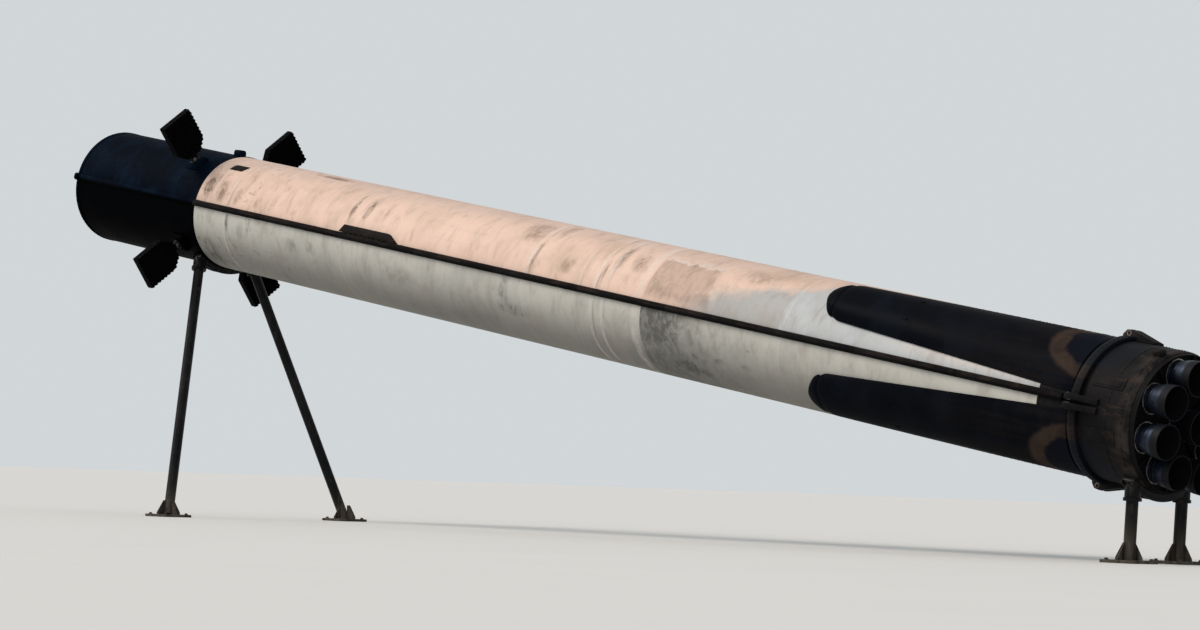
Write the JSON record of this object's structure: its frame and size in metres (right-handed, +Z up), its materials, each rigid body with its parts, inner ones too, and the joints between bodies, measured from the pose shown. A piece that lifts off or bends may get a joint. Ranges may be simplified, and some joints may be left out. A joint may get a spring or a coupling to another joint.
{
  "type": "half-size scale model of a reusable rocket first stage on a display stand",
  "caption": "Flown black-and-white rocket booster, 1:2 scale, lying inclined on raked props: open interstage, steerable grid fins, folded landing legs and open engine bells.",
  "frame": {"origin": "on the floor under the middle of the whole display", "axes": "+X from the open front end towards the engines, +Y away from the side with the raceway, +Z up"},
  "size_m": [23.7954, 4.064, 6.5823],
  "materials": {
    "interstage_black": "matte painted composite, mottled",
    "tank_white": "white paint, sooty and weathered",
    "sooty_skirt": "scorched brown-black thermal coating",
    "leg_black": "satin black composite",
    "raceway_black": "matte black paint",
    "fin_black": "black thermal coating, scorched",
    "bare_steel": "dull machined steel",
    "nozzle_metal": "heat-darkened nozzle metal",
    "stand_black": "semi-gloss black structural paint"
  },
  "bodies": {
    "stage": {"interstage_shell": "interstage_black", "front_ring": "interstage_black", "joint_ring": "interstage_black", "oxygen_tank_dome": "tank_white", "oxygen_tank_barrel_1": "tank_white", "oxygen_tank_barrel_2": "tank_white", "oxygen_tank_barrel_3": "tank_white", "oxygen_tank_barrel_4": "tank_white", "fuel_tank_barrel_1": "tank_white", "fuel_tank_barrel_2": "tank_white", "fuel_tank_barrel_3": "tank_white", "raceway_forward": "raceway_black", "raceway_main": "raceway_black", "raceway_junction_box": "raceway_black", "leg_tip_1": "leg_black", "leg_shell_1": "leg_black", "leg_tip_2": "leg_black", "leg_shell_2": "leg_black", "leg_tip_3": "leg_black", "leg_shell_3": "leg_black", "leg_tip_4": "leg_black", "leg_shell_4": "leg_black", "leg_root_1": "sooty_skirt", "leg_root_2": "sooty_skirt", "leg_root_3": "sooty_skirt", "leg_root_4": "sooty_skirt", "aft_skirt": "sooty_skirt", "engine_base_plate": "sooty_skirt", "engine_bell_1": "nozzle_metal", "engine_bell_2": "nozzle_metal", "engine_bell_3": "nozzle_metal", "engine_bell_4": "nozzle_metal", "engine_bell_5": "nozzle_metal", "engine_bell_6": "nozzle_metal", "engine_bell_7": "nozzle_metal", "engine_bell_8": "nozzle_metal", "engine_bell_9": "nozzle_metal", "fin_housing_1": "interstage_black", "fin_housing_2": "interstage_black", "fin_housing_3": "interstage_black", "fin_housing_4": "interstage_black", "thruster_pod": "interstage_black", "front_column_near": "stand_black", "front_column_far": "stand_black", "front_saddle": "stand_black", "aft_column_near": "stand_black", "aft_column_far": "stand_black", "aft_saddle": "stand_black"},
    "fin_hub_body_1": {"fin_hub_1": "bare_steel"},
    "fin_panel_body_1": {"grid_fin_1": "fin_black"},
    "fin_hub_body_2": {"fin_hub_2": "bare_steel"},
    "fin_panel_body_2": {"grid_fin_2": "fin_black"},
    "fin_hub_body_3": {"fin_hub_3": "bare_steel"},
    "fin_panel_body_3": {"grid_fin_3": "fin_black"},
    "fin_hub_body_4": {"fin_hub_4": "bare_steel"},
    "fin_panel_body_4": {"grid_fin_4": "fin_black"}
  },
  "joints": [
    {"name": "fin_steer_1", "type": "hinge", "parent": "stage", "child": "fin_hub_body_1", "pos_m": [-8.80979, -0.67878, 5.82679], "axis": [0.1212, -0.6428, 0.7564], "range_deg": [-20, 20]},
    {"name": "fin_fold_1", "type": "hinge", "parent": "fin_hub_body_1", "child": "fin_panel_body_1", "pos_m": [-8.80979, -0.67878, 5.82679], "axis": [-0.1017, -0.766, -0.6347], "range_deg": [0, 90]},
    {"name": "fin_steer_2", "type": "hinge", "parent": "stage", "child": "fin_hub_body_2", "pos_m": [-8.83038, 0.80894, 5.69827], "axis": [0.1017, 0.766, 0.6347], "range_deg": [-20, 20]},
    {"name": "fin_fold_2", "type": "hinge", "parent": "fin_hub_body_2", "child": "fin_panel_body_2", "pos_m": [-8.83038, 0.80894, 5.69827], "axis": [0.1212, -0.6428, 0.7564], "range_deg": [0, 90]},
    {"name": "fin_steer_3", "type": "hinge", "parent": "stage", "child": "fin_hub_body_3", "pos_m": [-9.06568, 0.67878, 4.22927], "axis": [-0.1212, 0.6428, -0.7564], "range_deg": [-20, 20]},
    {"name": "fin_fold_3", "type": "hinge", "parent": "fin_hub_body_3", "child": "fin_panel_body_3", "pos_m": [-9.06568, 0.67878, 4.22927], "axis": [0.1017, 0.766, 0.6347], "range_deg": [0, 90]},
    {"name": "fin_steer_4", "type": "hinge", "parent": "stage", "child": "fin_hub_body_4", "pos_m": [-9.04509, -0.80894, 4.35779], "axis": [-0.1017, -0.766, -0.6347], "range_deg": [-20, 20]},
    {"name": "fin_fold_4", "type": "hinge", "parent": "fin_hub_body_4", "child": "fin_panel_body_4", "pos_m": [-9.04509, -0.80894, 4.35779], "axis": [-0.1212, 0.6428, -0.7564], "range_deg": [0, 90]}
  ]
}
